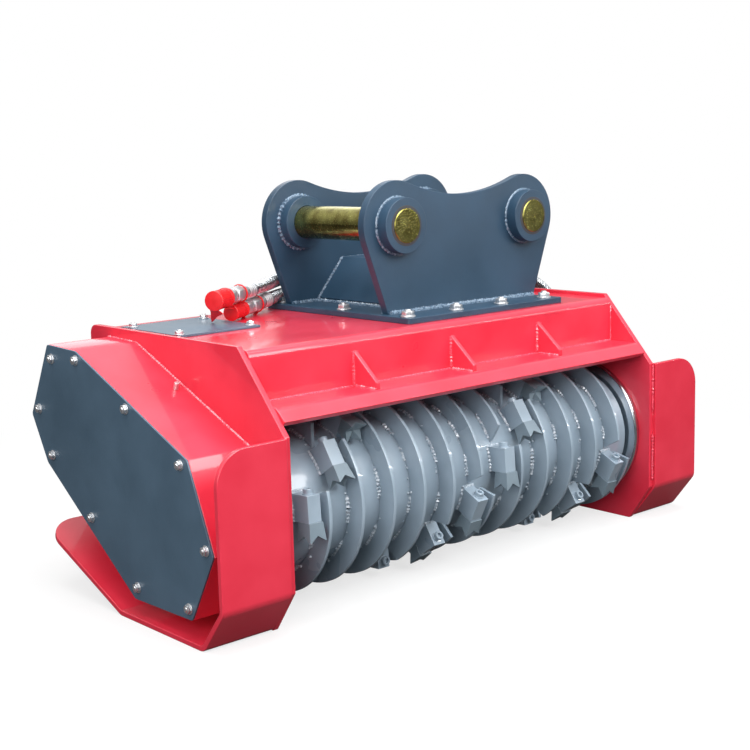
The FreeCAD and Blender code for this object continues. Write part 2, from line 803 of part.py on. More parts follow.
def ear(name, depth):
    """An ear with a lobe round each pin and a shallow saddle between them."""
    body = new_body(name)
    sketch = new_sketch(body, f"{name}_outline", "XZ", f"{back(depth)}")
    middle = value("bracket_place")
    half = value("pin_spacing / 2")
    up = value("pin_height")
    lobe = value("lobe_radius")
    saddle = value("saddle_radius")
    foot = value(BASE_TOP)
    hubs = [Vector(middle - half, up, 0), Vector(middle + half, up, 0)]
    rise = math.sqrt((lobe + saddle) ** 2 - half ** 2)
    dip = Vector(middle, up + rise, 0)
    corners = [Vector(value("bracket_place - ear_half_foot"), foot, 0),
               Vector(value("bracket_place + ear_half_foot"), foot, 0)]
    left_touch = tangent_spot(corners[0], hubs[0], lobe, 1)
    right_touch = tangent_spot(corners[1], hubs[1], lobe, -1)
    left_join = hubs[0] + (dip - hubs[0]).normalize() * lobe
    right_join = hubs[1] + (dip - hubs[1]).normalize() * lobe
    over = Vector(0, lobe, 0)
    sketch.addGeometry(Part.LineSegment(corners[0], corners[1]), False)
    sketch.addGeometry(Part.LineSegment(corners[1], right_touch), False)
    sketch.addGeometry(Part.Arc(right_touch, hubs[1] + over, right_join), False)
    sketch.addGeometry(Part.Arc(right_join, dip - Vector(0, saddle, 0), left_join), False)
    sketch.addGeometry(Part.Arc(left_join, hubs[0] + over, left_touch), False)
    sketch.addGeometry(Part.LineSegment(left_touch, corners[0]), False)
    sketch.addConstraint(Sketcher.Constraint("Coincident", 0, 2, 1, 1))
    sketch.addConstraint(Sketcher.Constraint("Coincident", 5, 2, 0, 1))
    sketch.addConstraint(Sketcher.Constraint("Tangent", 1, 2, 2, 1))
    sketch.addConstraint(Sketcher.Constraint("Tangent", 2, 2, 3, 2))
    sketch.addConstraint(Sketcher.Constraint("Tangent", 3, 1, 4, 1))
    sketch.addConstraint(Sketcher.Constraint("Tangent", 4, 2, 5, 1))
    for line, end, side in ((0, 1, "-"), (0, 2, "+")):
        constrain(sketch, f"bracket_place {side} ear_half_foot", "DistanceX", -1, 1, line, end)
        constrain(sketch, BASE_TOP, "DistanceY", -1, 1, line, end)
    for arc, side in ((4, "left"), (2, "right")):
        constrain(sketch, PIN_PLACES[side], "DistanceX", -1, 1, arc, 3)
        constrain(sketch, "pin_height", "DistanceY", -1, 1, arc, 3)
        constrain(sketch, "lobe_radius", "Radius", arc)
    constrain(sketch, "saddle_radius", "Radius", 3)
    pad(body, sketch, "ear_thick")
    for side, place in PIN_PLACES.items():
        hole = circle_sketch(body, f"{name}_{side}_hole", "XZ", back(depth), place,
                             "pin_height", "boss_radius + boss_seat")
        pocket(body, hole)
    return body


EAR_DEPTHS = {"front": "front_ear_depth", "rear": "rear_ear_depth"}
for end, depth in EAR_DEPTHS.items():
    NODES.append(ear(f"ear_{end}", depth))
    bosses = []
    for side, place in PIN_PLACES.items():
        start = (place, back(f"{depth} - boss_proud"), "pin_height")
        bosses.append(ring(f"boss_{end}_{side}", "Y", start, "boss_radius",
                           "pin_radius + pin_play", "ear_thick + 2 * boss_proud"))
    NODES.append(group(f"pin_bosses_{end}", bosses))

PIN_LENGTH = "rear_ear_depth - front_ear_depth + ear_thick + 2 * boss_proud + 2 * pin_tail"
for side, place in PIN_PLACES.items():
    start = (place, back("front_ear_depth - boss_proud - pin_tail"), "pin_height")
    NODES.append(cylinder(f"pin_{side}", "Y", start, "pin_radius", PIN_LENGTH))

BOX_FRONT = "front_ear_depth + ear_thick"
# Each foot is cut square, so only its inner corner stands on the base plate
BOX_SPREAD = "(box_half_foot - box_half_top)"
BOX_FOOT = (f"{BASE_TOP} + box_wall * {BOX_SPREAD} / "
            f"sqrt({BOX_SPREAD} ^ 2 + box_height ^ 2)")
box_body = new_body("cross_box")
box_section = new_sketch(box_body, "cross_box_section", "XZ", back("rear_ear_depth"))
draw_strip(box_section, [
    ("bracket_place - box_half_foot", BOX_FOOT),
    ("bracket_place - box_half_top", f"{BOX_FOOT} + box_height"),
    ("bracket_place + box_half_top", f"{BOX_FOOT} + box_height"),
    ("bracket_place + box_half_foot", BOX_FOOT),
], "box_wall", -1)
box_pad = box_body.newObject("PartDesign::Pad", "cross_box_pad")
box_pad.Profile = box_section
box_pad.setExpression("Length", sized(f"rear_ear_depth - ({BOX_FRONT})"))
NODES.append(box_body)

# Inspection cover on the hood
NODES.append(box("inspection_cover", ("-hatch_left", back("hatch_depth"), "hood_top_height"),
                 ("hatch_width", "hatch_length", "hatch_thick")))

# Grease nipple on the slanted face of the belt case
face_top = Vector(0, value(back("case_brow_depth")), value("case_brow_height"))
face_foot = Vector(0, value(back("case_face_depth")), value("case_face_height"))
face_run = face_top - face_foot
face_out = Vector(0, -face_run.z, face_run.y).normalize()
nipple_seat = face_foot + face_run * value("nipple_along")
nipple_seat.x = -value(f"{OUTER} + nipple_place")
nipple = doc.addObject("Part::Feature", "grease_nipple")
nipple.Shape = Part.makeCylinder(value("nipple_radius"), value("nipple_length"), nipple_seat,
                                 face_out)
NODES.append(nipple)

# Hydraulic hoses. Each route starts at its coupler on the hood, passes behind the rear
# ear, turns down past the right side and comes back to its elbow on the rear plate.
# Points are (x, depth, z).
ROUTES = {
    "lower": [
        (-117, 562, 521), (-61, 592, 523.7), (20, 624, 526), (120, 647, 527), (245, 657, 526),
        (390, 658, 524), (545, 655, 520), (700, 652, 511), (838, 650, 484), (931, 648, 412),
        (964, 646, 303), (930, 645, 195), (842, 645, 124), (727, 645, 98), (610, 645, 104),
        (503, 645, 148), (417, 646, 206), (333, 648, 262), (235, 648, 262)],
    "upper": [
        (-192, 518.5, 551), (-131, 553, 552.2), (-62, 604, 555), (40, 655, 557),
        (165, 686, 555), (305, 702, 549), (450, 705, 538), (585, 702, 514), (697, 698, 463),
        (764, 694, 378), (769, 691, 278), (712, 690, 194), (618, 690, 148), (510, 690, 146),
        (415, 691, 178), (325, 692, 211), (240, 692, 240), (165, 692, 240)],
}
RUN_SHARE = 0.45


def route_points(route):
    return [Vector(x, y - value("overall_depth") / 2, z) for x, y, z in ROUTES[route]]


def hose_tube(route):
    """Tube along straight runs joined by tangent arcs, each as large as its runs allow."""
    points = route_points(route)
    edges = []
    last = points[0]
    tightest = 1e9
    for before, here, after in zip(points, points[1:], points[2:]):
        run_in = before - here
        run_out = after - here
        half_turn = (math.pi - run_in.getAngle(run_out)) / 2
        setback = RUN_SHARE * min(run_in.Length, run_out.Length)
        tightest = min(tightest, setback / math.tan(half_turn))
        first = here + run_in.normalize() * setback
        final = here + run_out.normalize() * setback
        hub_way = (run_in + run_out).normalize()
        hub = here + hub_way * (setback / math.sin(half_turn))
        middle = hub - hub_way * (setback / math.tan(half_turn))
        edges.append(Part.LineSegment(last, first).toShape())
        edges.append(Part.Arc(first, middle, final).toShape())
        last = final
    edges.append(Part.LineSegment(last, points[-1]).toShape())
    path = Part.Wire(edges)
    radius = value("hose_radius")
    section = Part.Wire(Part.Circle(points[0], points[1] - points[0], radius).toShape())
    tube = path.makePipeShell([section], True, False)
    expected = path.Length * math.pi * radius ** 2
    print(f"hose {route}: length {path.Length:.0f}, tightest radius {tightest:.0f}, "
          f"volume share {tube.Volume / expected:.4f}")
    return tube


def end_cylinder(start, way, radius, length):
    return Part.makeCylinder(value(radius), value(length), start, way)


def hose_end(route):
    """Ferrule, sleeve and hexagon nut of a coupler, in line with the first run."""
    points = route_points(route)
    way = (points[0] - points[1]).normalize()
    sleeve_start = points[0] + way * value("ferrule_length")
    nut_start = sleeve_start + way * value("sleeve_length")
    cap_start = nut_start + way * value("nut_length")
    corner_radius = value("nut_flats") / math.sqrt(3)
    turn = Rotation(Vector(0, 0, 1), way)
    corners = [nut_start + turn.multVec(Vector(corner_radius * math.cos(math.radians(angle)),
                                               corner_radius * math.sin(math.radians(angle)), 0))
               for angle in range(0, 360, 60)]
    nut = Part.Face(Part.makePolygon(corners + corners[:1])).extrude(way * value("nut_length"))
    ferrule = end_cylinder(points[0], way, "ferrule_radius", "ferrule_length")
    sleeve = end_cylinder(sleeve_start, way, "sleeve_radius", "sleeve_length")
    cap = end_cylinder(cap_start, way, f"cap_{route}_radius", "cap_length")
    return ferrule.fuse([sleeve, nut]).removeSplitter(), cap


for route in ROUTES:
    coupler_shape, cap_shape = hose_end(route)
    pieces = {"hose": hose_tube(route), "coupler": coupler_shape, "dust_cap": cap_shape}
    for kind, shape in pieces.items():
        piece = doc.addObject("Part::Feature", f"{kind}_{route}")
        piece.Shape = shape
        NODES.append(piece)

elbows = []
for route in ROUTES:
    mouth = route_points(route)[-1]
    corner = Vector(mouth.x - 3 * value("elbow_radius"), mouth.y, mouth.z)
    wall = value(back("rear_depth"))
    inward = end_cylinder(Vector(corner.x, wall, corner.z), Vector(0, 1, 0), "elbow_radius",
                          f"{corner.y - wall}")
    outward = end_cylinder(corner, Vector(1, 0, 0), "elbow_radius", "3 * elbow_radius")
    knuckle = Part.makeSphere(value("elbow_radius"), corner)
    elbow = doc.addObject("Part::Feature", f"elbow_{route}")
    elbow.Shape = inward.fuse([outward, knuckle]).removeSplitter()
    elbows.append(elbow)
NODES.append(group("port_elbows", elbows))

doc.recompute()

# Every object has to be sound before anything is written

for item in doc.Objects:
    if "Invalid" in item.State or "Error" in item.State:
        raise RuntimeError(f"{item.Name} failed: {item.State}")

os.makedirs("parts", exist_ok=True)
for node in NODES:
    shape = node.Shape
    if shape.isNull() or not shape.isValid() or not shape.Solids:
        raise RuntimeError(f"{node.Name} has no valid solid")
    node.Label = node.Name
    shape.exportStep(f"parts/{node.Name}.step")
print(len(NODES), "pieces written")
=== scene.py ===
"""Looks of a forestry mulcher head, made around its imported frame: enamels, rounded plate
edges, weld beads, bolts, spring-guarded hoses with capped couplers, camera and light.
Lengths in the tables are millimetres and angles degrees, unless a comment says otherwise."""
import math
import random

import bmesh
import bpy
from mathutils import Matrix, Vector


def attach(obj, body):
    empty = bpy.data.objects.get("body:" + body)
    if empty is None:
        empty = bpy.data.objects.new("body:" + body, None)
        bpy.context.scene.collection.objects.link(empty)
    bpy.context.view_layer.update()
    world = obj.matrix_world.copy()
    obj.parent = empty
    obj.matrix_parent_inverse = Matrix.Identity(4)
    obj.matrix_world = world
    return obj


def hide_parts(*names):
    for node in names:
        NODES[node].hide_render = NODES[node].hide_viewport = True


bl_info = {
    "name": "Mulcher Head Looks",
    "version": (1, 0, 0),
    "blender": (4, 5, 0),
    "location": "View3D > Sidebar > Mulcher",
    "description": "Dresses the packed mulcher head with enamel, welds, bolts and hoses",
    "category": "Object",
}

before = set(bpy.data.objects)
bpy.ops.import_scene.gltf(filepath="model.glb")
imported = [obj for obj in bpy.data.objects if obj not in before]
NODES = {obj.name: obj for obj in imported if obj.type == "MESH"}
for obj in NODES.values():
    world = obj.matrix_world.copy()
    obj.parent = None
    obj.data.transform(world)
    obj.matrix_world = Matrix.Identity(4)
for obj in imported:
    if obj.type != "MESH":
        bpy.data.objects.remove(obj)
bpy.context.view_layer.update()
MM = 0.001
# From the front of the housing, where depths are counted from, to the row frame's origin
FRONT_TO_MIDDLE = 323.5
# Edges that turn by more than this stay sharp, or get a radius
SHARP_ANGLE = math.radians(32)

# The rotor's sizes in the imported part. Angles run from the front up over the top.
ROTOR_DEPTH = 190
ROTOR_HEIGHT = 194
DRUM_RADIUS = 133
RIB_RADIUS = 173
RIB_THICK = 7
TOOTH_COUNT = 24
TOOTH_PITCH = 38.75
FIRST_TOOTH_ANGLE = -12
TOOTH_STEP_ANGLE = 30
RIB_START_ANGLE = 28
RIB_STOP_ANGLE = 35
TIP_LEAD = 15.43
HOLDER_WIDTH = 29
HOLDER_FRONT = -11
HOLDER_REAR = 39
HOLDER_SCREW_RADIUS = 160

# Centre lines of the hoses from coupler to port, as (place along the drum, depth from the front,
# height)
HOSE_ROUTES = {
    "lower": [
        (-117, 562, 521), (-61, 592, 523.7), (20, 624, 526), (120, 647, 527),
        (245, 657, 526), (390, 658, 524), (545, 655, 520), (700, 652, 511),
        (838, 650, 484), (931, 648, 412), (964, 646, 303), (930, 645, 195),
        (842, 645, 124), (727, 645, 98), (610, 645, 104), (503, 645, 148),
        (417, 646, 206), (333, 648, 262), (235, 648, 262),
    ],
    "upper": [
        (-192, 518.5, 551), (-131, 553, 552.2), (-62, 604, 555), (40, 655, 557),
        (165, 686, 555), (305, 702, 549), (450, 705, 538), (585, 702, 514),
        (697, 698, 463), (764, 694, 378), (769, 691, 278), (712, 690, 194),
        (618, 690, 148), (510, 690, 146), (415, 691, 178), (325, 692, 211),
        (240, 692, 240), (165, 692, 240),
    ],
}
HOSE_RADIUS = 14.5
HOSE_IN_COUPLER = 40
WINDING_STEPS = 14


# ---- shared helpers

def spot(place, depth, height):
    """Point in the row frame, in metres, from millimetres along, back and up."""
    return Vector((place, depth - FRONT_TO_MIDDLE, height)) * MM


def drum_spot(place, angle, radius):
    """Point on the rotor; the angle runs from the front up over the top, in degrees."""
    turn = math.radians(angle)
    return spot(place, ROTOR_DEPTH - radius * math.cos(turn),
                ROTOR_HEIGHT + radius * math.sin(turn))


def tooth_angle(number):
    """Angle of a tooth: two opposite spirals of teeth, turned step by step."""
    opposite = 180 if number % 2 else 0
    return FIRST_TOOTH_ANGLE + TOOTH_STEP_ANGLE * (number // 2) + opposite


def tooth_place(number):
    """Place of a tooth along the drum."""
    return TOOTH_PITCH * (number - (TOOTH_COUNT - 1) / 2)


def rib_span(number):
    """First and last angle of the rib that leads to a tooth's holder."""
    start = tooth_angle(number - 1) + RIB_START_ANGLE
    stop = tooth_angle(number) + RIB_STOP_ANGLE
    while start - stop < 90:
        start += 360
    while start - stop > 360:
        start -= 360
    return stop, start


def holder_place(number):
    """Matrix from a holder drawn on top of the drum to its tooth's place."""
    turn = math.radians(90 - tooth_angle(number) - TIP_LEAD)
    return (Matrix.Translation(spot(tooth_place(number), ROTOR_DEPTH, ROTOR_HEIGHT))
            @ Matrix.Rotation(turn, 4, "X"))


def facing(origin, direction):
    """Matrix that puts a piece made along +Z at a point, along a direction."""
    turn = Vector(direction).to_track_quat("Z", "Y").to_matrix().to_4x4()
    return Matrix.Translation(origin) @ turn


def linear(code):
    """Linear RGBA of an sRGB hex colour."""
    channels = [int(code[i:i + 2], 16) / 255 for i in (1, 3, 5)]
    return [c / 12.92 if c <= 0.04045 else ((c + 0.055) / 1.055) ** 2.4
            for c in channels] + [1.0]


def add_node(tree, kind, settings=None, values=None, links=None):
    """Adds a node with its settings, its sockets' values and its links."""
    node = tree.nodes.new(kind)
    for key, value in (settings or {}).items():
        setattr(node, key, value)
    for key, value in (values or {}).items():
        node.inputs[key].default_value = value
    for key, socket in (links or {}).items():
        tree.links.new(socket, node.inputs[key])
    return node


def linked(name, data):
    """New object at the origin, linked to the scene."""
    made = bpy.data.objects.new(name, data)
    bpy.context.scene.collection.objects.link(made)
    return made


def dressed(name, data, finish, body="frame"):
    """New object of a mesh or curve with its finish, riding on a body."""
    data.materials.append(material(finish))
    piece = linked(name, data)
    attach(piece, body)
    return piece


def new_object(name, bm, finish, body="frame"):
    """Object from a bmesh in metres, smooth up to the sharp angle."""
    mesh = bpy.data.meshes.new(name)
    bmesh.ops.recalc_face_normals(bm, faces=bm.faces)
    bm.to_mesh(mesh)
    bm.free()
    mesh.shade_smooth()
    mesh.set_sharp_from_angle(angle=SHARP_ANGLE)
    return dressed(name, mesh, finish, body)


# ---- finishes

def shader_of(name):
    """New material with a Principled shader; returns it with its tree and shader."""
    made = bpy.data.materials.new(name)
    made.use_nodes = True
    tree = made.node_tree
    tree.nodes.clear()
    shader = add_node(tree, "ShaderNodeBsdfPrincipled")
    add_node(tree, "ShaderNodeOutputMaterial", links={"Surface": shader.outputs["BSDF"]})
    return made, tree, shader


def noise_on_object(tree, size, detail=3.0):
    """Noise whose patches are about size millimetres across."""
    where = add_node(tree, "ShaderNodeTexCoord")
    return add_node(tree, "ShaderNodeTexNoise",
                    values={"Scale": 1 / (size * MM), "Detail": detail, "Roughness": 0.55},
                    links={"Vector": where.outputs["Object"]})


def tint(tree, factor, dark, light, low=0.35, high=0.65):
    """Colour that runs from dark to light over a factor's middle range."""
    ramp = add_node(tree, "ShaderNodeValToRGB", links={"Fac": factor})
    for element, position, code in zip(ramp.color_ramp.elements, (low, high), (dark, light)):
        element.position = position
        element.color = linear(code)
    return ramp.outputs["Color"]


def spread(tree, factor, low, high):
    """A factor's 0.3 to 0.7 stretched over low to high."""
    span = add_node(tree, "ShaderNodeMapRange",
                    values={"From Min": 0.3, "From Max": 0.7, "To Min": low, "To Max": high},
                    links={"Value": factor})
    return span.outputs["Result"]


def bump(tree, factor, height, strength):
    """Bump of a height in millimetres."""
    made = add_node(tree, "ShaderNodeBump",
                    values={"Strength": strength, "Distance": height * MM},
                    links={"Height": factor})
    return made.outputs["Normal"]


def enamel(name, dark, light, rough, peel, coat, patch=130):
    """Sprayed two-pack enamel: even colour with faint cloudy patches, a slightly wavy
    orange peel that breaks reflections, and a clear glossy skin."""
    made, tree, shader = shader_of(name)
    clouds = noise_on_object(tree, patch)
    waves = noise_on_object(tree, 9, 2.0)
    tree.links.new(tint(tree, clouds.outputs["Fac"], dark, light), shader.inputs["Base Color"])
    tree.links.new(spread(tree, clouds.outputs["Fac"], rough * 0.85, rough * 1.2),
                   shader.inputs["Roughness"])
    tree.links.new(bump(tree, waves.outputs["Fac"], peel, 0.5), shader.inputs["Normal"])
    shader.inputs["Coat Weight"].default_value = coat
    shader.inputs["Coat Roughness"].default_value = 0.06
    return made


def plated(name, dark, light, rough, grain):
    """Zinc-plated steel: metallic, with the tint of the passivation and a fine grain."""
    made, tree, shader = shader_of(name)
    blotches = noise_on_object(tree, grain)
    lay = noise_on_object(tree, 2.5, 2.0)
    tree.links.new(tint(tree, blotches.outputs["Fac"], dark, light),
                   shader.inputs["Base Color"])
    tree.links.new(spread(tree, lay.outputs["Fac"], rough * 0.7, rough * 1.3),
                   shader.inputs["Roughness"])
    shader.inputs["Metallic"].default_value = 1.0
    return made


def turned_steel(name):
    """Bare turned steel: bright metal with rings left by the tool round the drum's axis."""
    made, tree, shader = shader_of(name)
    where = add_node(tree, "ShaderNodeTexCoord")
    centred = add_node(tree, "ShaderNodeMapping",
                       values={"Location": -spot(0, ROTOR_DEPTH, ROTOR_HEIGHT)},
                       links={"Vector": where.outputs["Object"]})
    rings = add_node(tree, "ShaderNodeTexWave",
                     {"wave_type": "RINGS", "rings_direction": "X"},
                     {"Scale": 100, "Distortion": 0.6, "Detail": 2.0},
                     {"Vector": centred.outputs["Vector"]})
    tree.links.new(tint(tree, rings.outputs["Fac"], "#C2C8CE", "#E4E8EC", 0.1, 0.9),
                   shader.inputs["Base Color"])
    tree.links.new(bump(tree, rings.outputs["Fac"], 0.1, 0.3), shader.inputs["Normal"])
    shader.inputs["Metallic"].default_value = 1.0
    shader.inputs["Roughness"].default_value = 0.16
    return made


def moulded(name, dark, light, rough):
    """Moulded soft PVC or rubber: deep even colour with a fine satin grain."""
    made, tree, shader = shader_of(name)
    patches = noise_on_object(tree, 14)
    grain = noise_on_object(tree, 1.6, 2.0)
    tree.links.new(tint(tree, patches.outputs["Fac"], dark, light), shader.inputs["Base Color"])
    tree.links.new(spread(tree, grain.outputs["Fac"], rough * 0.85, rough * 1.15),
                   shader.inputs["Roughness"])
    tree.links.new(bump(tree, grain.outputs["Fac"], 0.15, 0.4), shader.inputs["Normal"])
    return made


FINISHES = {
    "red_enamel": lambda name: enamel(name, "#DB2C42", "#E5374D", 0.32, 0.25, 0.7),
    # Weld beads: paler pink than the red enamel, speckled light in 3 mm spots, as painted
    # highlight on the beads
    "red_weld_painted_highlight": lambda name: enamel(name, "#E0354B", "#F5697E", 0.26, 0.5, 0.7, 3),
    "anthracite_enamel": lambda name: enamel(name, "#243E53", "#2B475E", 0.45, 0.30, 0.1),
    # Covers: a lighter copy of the anthracite enamel, painted light and sheen where the covers
    # catch the lamps
    "anthracite_enamel_painted_light": lambda name: enamel(name, "#43596B", "#4B6275", 0.42, 0.30, 0.2),
    # Weld beads: much lighter than the anthracite enamel, speckled in 5 mm spots, as painted
    # highlight on the beads
    "anthracite_weld_painted_highlight": lambda name: enamel(name, "#40586E", "#8499AD", 0.28, 0.5, 0.6, 5),
    "rotor_enamel": lambda name: enamel(name, "#8C9DAB", "#9EAFBD", 0.30, 0.15, 0.9),
    # Weld beads and spatter: near white against the rotor enamel, as painted highlight and glints
    # on the beads
    "rotor_weld_painted_highlight": lambda name: enamel(name, "#93A5B4", "#DDE6EE", 0.24, 0.5, 0.9, 5),
    "tooth_enamel": lambda name: enamel(name, "#6D7D87", "#7B8B96", 0.38, 0.30, 0.3),
    "bright_zinc": lambda name: plated(name, "#B9BEC4", "#DDE1E5", 0.15, 6),
    "yellow_zinc": lambda name: plated(name, "#8C8348", "#B8B36A", 0.22, 22),
    "turned_steel": turned_steel,
    "spring_steel": lambda name: plated(name, "#A5AAAF", "#D3D7DB", 0.2, 9),
    "red_pvc": lambda name: moulded(name, "#D3121B", "#E01F27", 0.38),
    "hose_rubber": lambda name: moulded(name, "#141415", "#1D1D1F", 0.62),
    "motor_casting": lambda name: enamel(name, "#3A3D40", "#44484B", 0.55, 0.5, 0.0),
}


def material(finish):
    """The finish's material, made on first use."""
    return bpy.data.materials.get(finish) or FINISHES[finish](finish)


# ---- camera and stage

class StageSettings(bpy.types.PropertyGroup):
    floor_colour: bpy.props.FloatVectorProperty(
        name="Floor", description="Colour of the floor and of the light from all round",
        subtype="COLOR", size=3, min=0, max=1, default=(0.93, 0.93, 0.93))
    sky_light: bpy.props.FloatProperty(
        name="Sky light", description="Strength of the light from all round", min=0, default=0.42)
    lens: bpy.props.FloatProperty(
        name="Lens", description="Focal length of the camera", subtype="DISTANCE_CAMERA",
        unit="CAMERA", min=1, default=65.17)


# Camera place, its view as azimuth, elevation and roll, and the width of its sensor
CAMERA_SPOT = (-1889.5, -1789.6, 844.2)
CAMERA_AZIMUTH = -41.45
CAMERA_ELEVATION = 9.6
CAMERA_ROLL = -1.55
SENSOR_WIDTH = 36

# Where the floor starts to fade into the background and where it is all background, in
# metres from the object's middle; the share of glow in it; the grey that it is to the light
FLOOR_SIZE = 12
FADE_START = 0.8
FADE_END = 1.7
FLOOR_GLOW = 0.7
FLOOR_BOUNCE = (0.07, 0.07, 0.07, 1)

# Lamps: name, place, the point it is aimed at, width and height, all in metres, and watts.
# A lamp named gloss shows in reflections only.
LAMPS = [
    ("top_softbox", (-0.3, -0.3, 2.6), (0, 0, 0.3), 2.6, 2.2, 72),
    ("left_softbox", (-2.5, -1.3, 1.3), (0, 0, 0.3), 1.8, 1.6, 44),
    ("front_softbox", (0.5, -2.5, 2.0), (0.1, 0, 0.3), 2.4, 1.2, 72),
    ("gloss_strip", (1.9, -1.86, 0.98), (1.9, 0, 0.6), 2.8, 0.04, 14),
    ("back_softbox", (1.2, 2.6, 1.8), (0, 0, 0.3), 1.8, 1.4, 14),
]
# Brightness of the sky in reflections, low down and overhead
SKY_GLOSS = (0.2, 0.95)


def camera_matrix():
    """Matrix of the camera, from its place and its view."""
    azimuth, elevation, roll = (math.radians(a) for a in
                                (CAMERA_AZIMUTH, CAMERA_ELEVATION, CAMERA_ROLL))
    back = Vector((math.sin(azimuth) * math.cos(elevation),
                   -math.cos(azimuth) * math.cos(elevation), math.sin(elevation)))
    right = Vector((0, 0, 1)).cross(back).normalized()
    up = back.cross(right)
    right, up = (right * math.cos(roll) + up * math.sin(roll),
                 up * math.cos(roll) - right * math.sin(roll))
    place = Matrix((right, up, back)).transposed().to_4x4()
    place.translation = spot(*CAMERA_SPOT)
    return place


def pale_floor(colour):
    """Matt floor. To the camera it glows a little, so that shadows stay light, and fades
    into the white background away from the object; to the light it is a dark grey."""
    made, tree, shader = shader_of("pale_floor")
    shader.inputs["Base Color"].default_value = (*colour, 1)
    shader.inputs["Roughness"].default_value = 0.9
    where = add_node(tree, "ShaderNodeTexCoord")
    away = add_node(tree, "ShaderNodeVectorMath", {"operation": "LENGTH"},
                    links={0: where.outputs["Object"]})
    fade = add_node(tree, "ShaderNodeMapRange",
                    values={"From Min": FADE_START, "From Max": FADE_END},
                    links={"Value": away.outputs["Value"]})
    white = add_node(tree, "ShaderNodeEmission", values={"Strength": 1.0})
    near = add_node(tree, "ShaderNodeMixShader", values={0: FLOOR_GLOW},
                    links={1: shader.outputs["BSDF"], 2: white.outputs["Emission"]})
    near_far = add_node(tree, "ShaderNodeMixShader",
                        links={0: fade.outputs["Result"], 1: near.outputs["Shader"],
                               2: white.outputs["Emission"]})
    grey = add_node(tree, "ShaderNodeBsdfDiffuse", values={"Color": FLOOR_BOUNCE})
    path = add_node(tree, "ShaderNodeLightPath")
    pick = add_node(tree, "ShaderNodeMixShader",
                    links={0: path.outputs["Is Camera Ray"], 1: grey.outputs["BSDF"],
                           2: near_far.outputs["Shader"]})
    out = next(n for n in tree.nodes if n.type == "OUTPUT_MATERIAL")
    tree.links.new(pick.outputs["Shader"], out.inputs["Surface"])
    return made


def sky(strength, colour):
    """World that lights softly, is bright overhead in gloss, and shows white behind."""
    world = bpy.data.worlds.new("studio_sky")
    bpy.context.scene.world = world
    world.use_nodes = True
    tree = world.node_tree
    tree.nodes.clear()
    path = add_node(tree, "ShaderNodeLightPath")
    soft = add_node(tree, "ShaderNodeBackground",
                    values={"Color": (*colour, 1), "Strength": strength})
    seen = add_node(tree, "ShaderNodeBackground", values={"Color": (1, 1, 1, 1), "Strength": 1})
    where = add_node(tree, "ShaderNodeTexCoord")
    axes = add_node(tree, "ShaderNodeSeparateXYZ", links={0: where.outputs["Generated"]})
    height = add_node(tree, "ShaderNodeMapRange",
                      values={"From Min": 0.15, "From Max": 0.85,
                              "To Min": SKY_GLOSS[0], "To Max": SKY_GLOSS[1]},
                      links={"Value": axes.outputs["Z"]})
    gloss = add_node(tree, "ShaderNodeBackground", values={"Color": (1, 1, 1, 1)},
                     links={"Strength": height.outputs["Result"]})
    light = add_node(tree, "ShaderNodeMixShader",
                     links={0: path.outputs["Is Glossy Ray"], 1: soft.outputs["Background"],
                            2: gloss.outputs["Background"]})
    pick = add_node(tree, "ShaderNodeMixShader",
                    links={0: path.outputs["Is Camera Ray"], 1: light.outputs["Shader"],
                           2: seen.outputs["Background"]})
    add_node(tree, "ShaderNodeOutputWorld", links={"Surface": pick.outputs["Shader"]})


class MULCHER_OT_stage(bpy.types.Operator):
    """Camera at the photograph's angle, pale floor and soft studio light"""
    bl_idname = "mulcher.stage"
    bl_label = "Stage"

    def execute(self, context):
        settings = context.scene.mulcher_stage
        lens = bpy.data.cameras.new("camera")
        lens.lens = settings.lens
        lens.sensor_width = SENSOR_WIDTH
        lens.clip_end = 50
        camera = linked("camera", lens)
        camera.matrix_world = camera_matrix()
        context.scene.camera = camera
        context.scene.view_settings.view_transform = "Standard"

        bm = bmesh.new()
        bmesh.ops.create_grid(bm, x_segments=1, y_segments=1, size=FLOOR_SIZE)
        mesh = bpy.data.meshes.new("floor")
        bm.to_mesh(mesh)
        bm.free()
        mesh.materials.append(pale_floor(settings.floor_colour))
        linked("floor", mesh)

        for name, place, aim, width, height, power in LAMPS:
            lamp = bpy.data.lights.new(name, "AREA")
            lamp.shape = "RECTANGLE"
            lamp.size = width
            lamp.size_y = height
            lamp.energy = power
            holder = linked(name, lamp)
            holder.visible_diffuse = not name.startswith("gloss")
            holder.matrix_world = facing(Vector(place), Vector(place) - Vector(aim))
        sky(settings.sky_light, settings.floor_colour)
        return {"FINISHED"}


# ---- hoses and their ends

class HoseSettings(bpy.types.PropertyGroup):
    guard_pitch: bpy.props.FloatProperty(
        name="Guard pitch", description="Spacing of the spring guard's windings",
        subtype="DISTANCE", unit="LENGTH", min=0.002, default=0.0072)
    guard_wire: bpy.props.FloatProperty(
        name="Guard wire", description="Radius of the spring guard's wire",
        subtype="DISTANCE", unit="LENGTH", min=0.0005, default=0.0020)


def curve_along(name, kind, points, radius, resolution):
    """Curve of a kind along points, as a closed tube of a radius."""
    curve = bpy.data.curves.new(name, "CURVE")
    curve.dimensions = "3D"
    spline = curve.splines.new(kind)
    spline.points.add(len(points) - 1)
    for point, place in zip(spline.points, points):
        point.co = (*place, 1)
    curve.bevel_depth = radius
    curve.bevel_resolution = resolution
    curve.use_fill_caps = True
    return curve


def route_curve(name, points, radius):
    """Open NURBS curve whose control points are the route's points."""
    curve = curve_along(name, "NURBS", points, radius, 6)
    spline = curve.splines[0]
    spline.order_u = 3
    spline.use_endpoint_u = True
    spline.resolution_u = 12
    return curve


def mesh_of(curve):
    """Mesh of a curve, in the curve's place."""
    holder = bpy.data.objects.new(curve.name, curve)
    mesh = bpy.data.meshes.new_from_object(holder)
    bpy.data.objects.remove(holder)
    bpy.data.curves.remove(curve)
    return mesh


